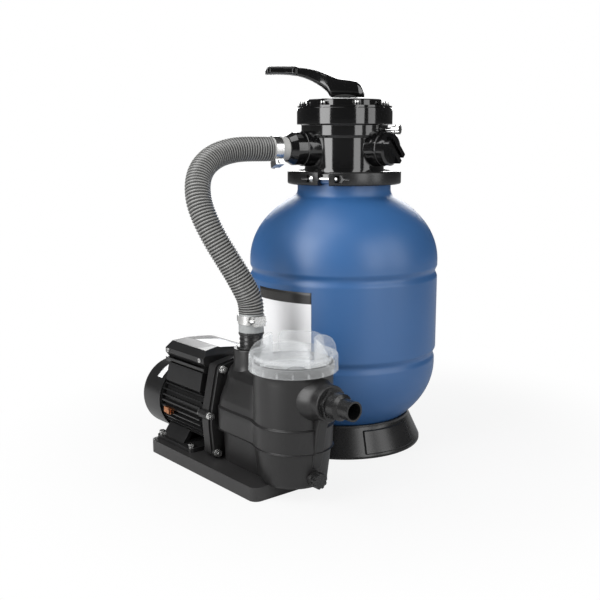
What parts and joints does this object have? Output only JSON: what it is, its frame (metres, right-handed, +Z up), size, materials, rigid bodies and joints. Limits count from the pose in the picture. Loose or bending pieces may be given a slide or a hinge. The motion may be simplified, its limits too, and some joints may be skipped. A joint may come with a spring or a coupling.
{
  "type": "sand filter tank with pump",
  "caption": "Small pool sand filter: blow-moulded tank on a round foot, top-mount multiport valve, ribbed hose and a strainer pump on its own base",
  "frame": {"origin": "centre of the tank foot's underside, on the floor", "axes": "+Z up along the tank, +X along the pump from its motor to its suction inlet, +Y from the pump to the tank"},
  "size_m": [0.4444, 0.4437, 0.597],
  "materials": {
    "tank_blue": "satin moulded plastic with a fine orange-peel surface",
    "label_white": "bare printed film with a black head band",
    "valve_black": "glossy moulded ABS",
    "foot_black": "satin moulded plastic",
    "pump_charcoal": "matte fine-grained moulded plastic",
    "motor_black": "semi-gloss black paint on cast aluminium",
    "hose_grey": "satin ribbed flexible plastic",
    "steel": "zinc-plated or stainless steel",
    "seal_rubber": "matte black rubber",
    "white_plastic": "plain white plastic",
    "clear_plastic": "clear polished plastic",
    "core_iron": "laminated core",
    "can_aluminium": "drawn can",
    "copper": "bare copper"
  },
  "bodies": {
    "root": {"tank_foot": "foot_black", "tank_shell": "tank_blue", "tank_label": "label_white", "standpipe": "white_plastic", "lateral_hub": "white_plastic", "laterals": "white_plastic", "top_diffuser": "foot_black", "tank_seal": "seal_rubber", "clamp_half_left": "foot_black", "clamp_half_right": "foot_black", "clamp_bolts": "steel", "clamp_nuts": "steel", "valve_body": "valve_black", "valve_cover": "valve_black", "cover_seal": "seal_rubber", "cover_screws": "steel", "seat_gasket": "seal_rubber", "diverter_spring": "steel", "pump_port_adapter": "valve_black", "return_adapter": "valve_black", "hose": "hose_grey", "hose_clamp_bands": "steel", "hose_clamp_screws": "steel", "pump_base": "pump_charcoal", "motor_foot": "motor_black", "foot_bolts": "steel", "motor_housing": "motor_black", "fan_cover": "foot_black", "fan_cover_screws": "steel", "stator": "core_iron", "bearings": "steel", "terminal_box": "foot_black", "terminal_cover": "foot_black", "terminal_screws": "steel", "capacitor": "can_aluminium", "cable_gland": "valve_black", "bonding_lug": "copper", "motor_bracket": "pump_charcoal", "bracket_bolts": "steel", "bracket_nuts": "steel", "pump_housing": "pump_charcoal", "shaft_seal": "seal_rubber", "strainer_basket": "white_plastic", "outlet_adapter": "foot_black", "inlet_adapter": "foot_black"},
    "selector": {"slip_washer": "white_plastic"},
    "diverter_unit": {"diverter": "pump_charcoal", "handle_pin": "steel"},
    "lever": {"handle": "valve_black"},
    "cap": {"port_cap": "valve_black"},
    "bleed": {"bleed_screw": "steel"},
    "tank_drain": {"tank_drain_plug": "foot_black"},
    "pump_drain": {"pump_drain_plug": "foot_black"},
    "spindle": {"motor_shaft": "steel", "rotor_core": "core_iron", "cooling_fan": "foot_black", "impeller": "pump_charcoal"},
    "lid_carrier": {"lid_seal": "seal_rubber"},
    "lid": {"strainer_lid": "clear_plastic"}
  },
  "joints": [
    {"name": "selector_turn", "type": "hinge", "parent": "root", "child": "selector", "pos_m": [0, 0, 0.547], "axis": [0, 0, 1], "continuous": true},
    {"name": "diverter_lift", "type": "slide", "parent": "selector", "child": "diverter_unit", "axis": [0, 0, 1], "range_m": [0, 0.004], "deforming": ["diverter_spring"]},
    {"name": "handle_press", "type": "hinge", "parent": "diverter_unit", "child": "lever", "pos_m": [0, 0, 0.562], "axis": [0.7431, -0.6691, 0], "range_deg": [0, 12], "stiffness_Nm_per_rad": 4, "springref_deg": -22.92},
    {"name": "port_cap_turn", "type": "hinge", "parent": "root", "child": "cap", "pos_m": [0.08371, 0.01476, 0.471], "axis": [0.9848, 0.1736, 0], "range_deg": [0, 540]},
    {"name": "bleed_screw_turn", "type": "hinge", "parent": "root", "child": "bleed", "pos_m": [0.07417, 0.02997, 0.5], "axis": [0.9272, 0.3746, 0], "range_deg": [0, 540]},
    {"name": "tank_drain_turn", "type": "hinge", "parent": "root", "child": "tank_drain", "pos_m": [-0.02431, 0.13787, 0.07], "axis": [-0.1736, 0.9848, 0], "range_deg": [0, 540]},
    {"name": "pump_drain_turn", "type": "hinge", "parent": "root", "child": "pump_drain", "pos_m": [0.2, -0.225, 0.034], "axis": [1, 0, 0], "range_deg": [0, 540]},
    {"name": "motor_spin", "type": "hinge", "parent": "root", "child": "spindle", "pos_m": [0, -0.221, 0.08], "axis": [1, 0, 0], "continuous": true},
    {"name": "lid_lift", "type": "slide", "parent": "root", "child": "lid_carrier", "axis": [0, 0, 1], "range_m": [0, 0.06]},
    {"name": "lid_turn", "type": "hinge", "parent": "lid_carrier", "child": "lid", "pos_m": [0.1425, -0.221, 0.19], "axis": [0, 0, 1], "range_deg": [0, 60]}
  ],
  "couplings": [
    {"joint": "diverter_lift", "follows": "handle_press", "m_per_rad": 0.019099}
  ]
}
